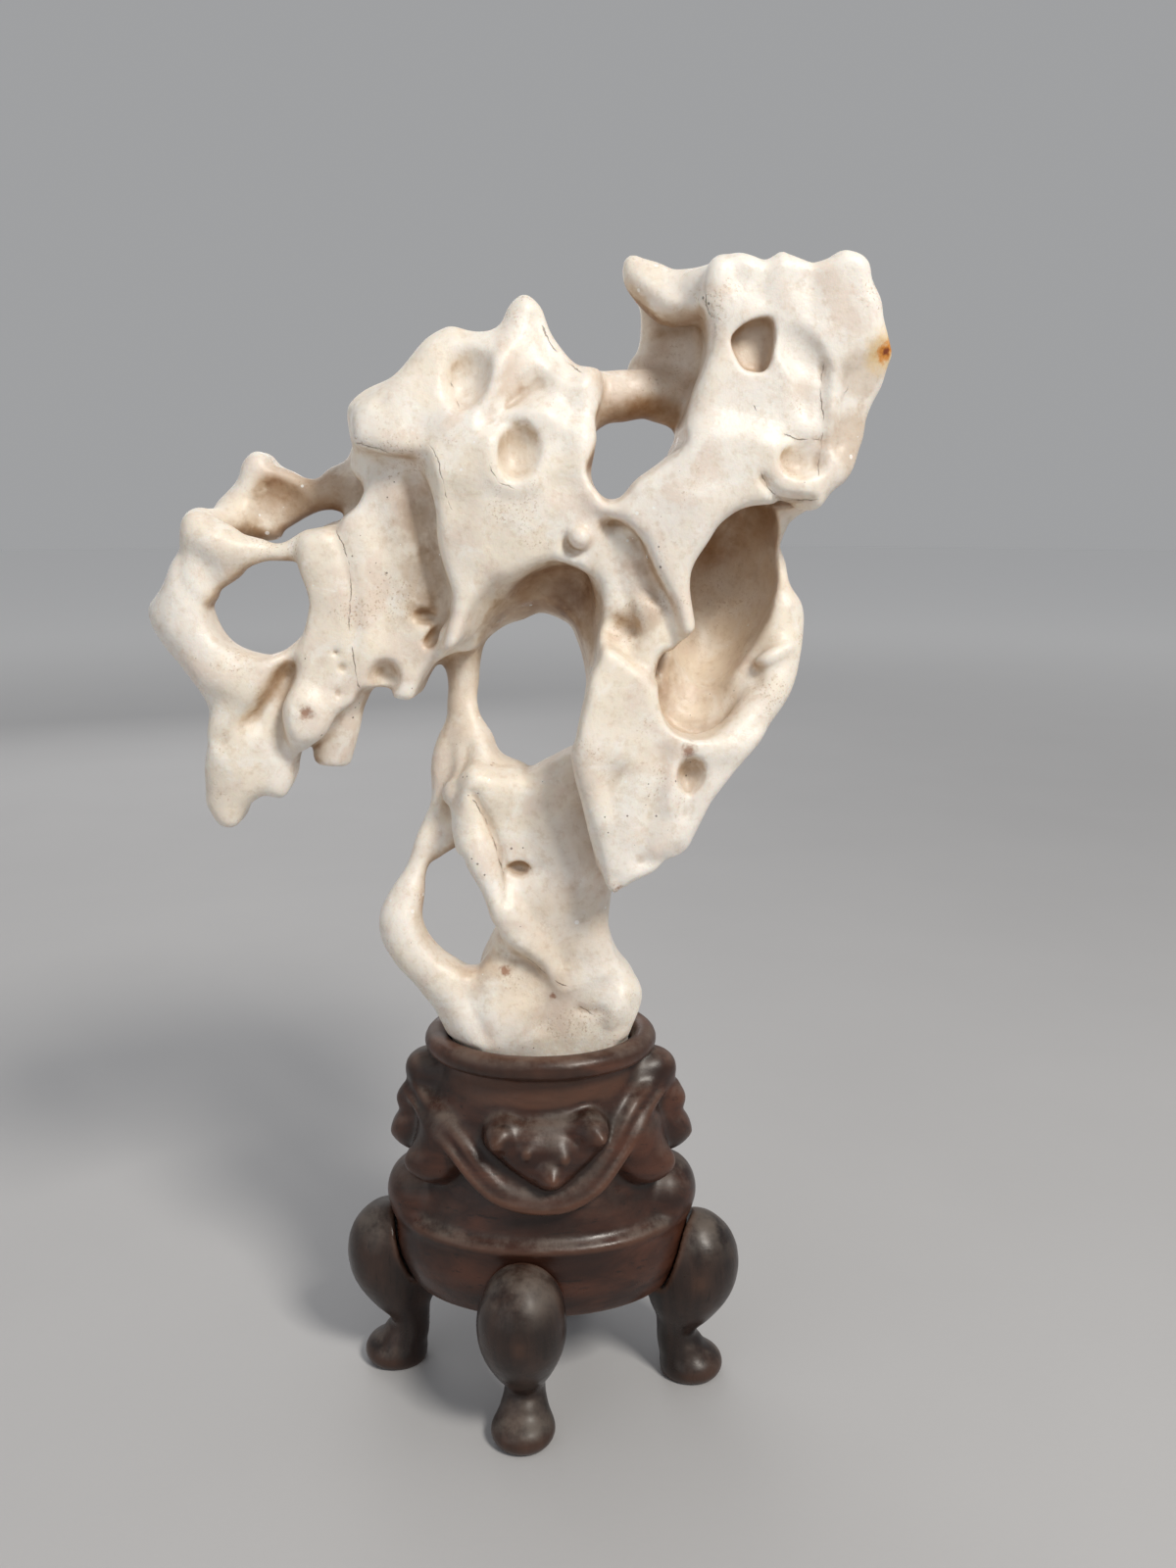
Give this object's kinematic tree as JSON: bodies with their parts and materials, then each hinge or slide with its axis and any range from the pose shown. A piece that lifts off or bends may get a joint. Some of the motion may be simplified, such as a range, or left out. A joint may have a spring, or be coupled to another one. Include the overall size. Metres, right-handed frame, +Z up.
{
  "type": "scholars rock with stand",
  "caption": "Pierced, branching white display stone standing in a carved dark hardwood stand on cabriole legs.",
  "frame": {"origin": "centre of the whole object's footprint box, on the surface the feet stand on; the stand's upright axis is 9 mm to the +X side", "axes": "+Z up; -Y is the front, the side with the hollows and the leaf of the stand facing the viewer; +X is the viewer's right"},
  "size_m": [0.25, 0.1229, 0.4185],
  "materials": {
    "white_stone": "satin",
    "dark_hardwood": "satin",
    "leg_hardwood": "satin"
  },
  "bodies": {
    "root": {"stone": "white_stone", "stand_body": "dark_hardwood", "leg_front": "leg_hardwood", "leg_right": "leg_hardwood", "leg_back": "leg_hardwood", "leg_left": "leg_hardwood"}
  },
  "joints": []
}
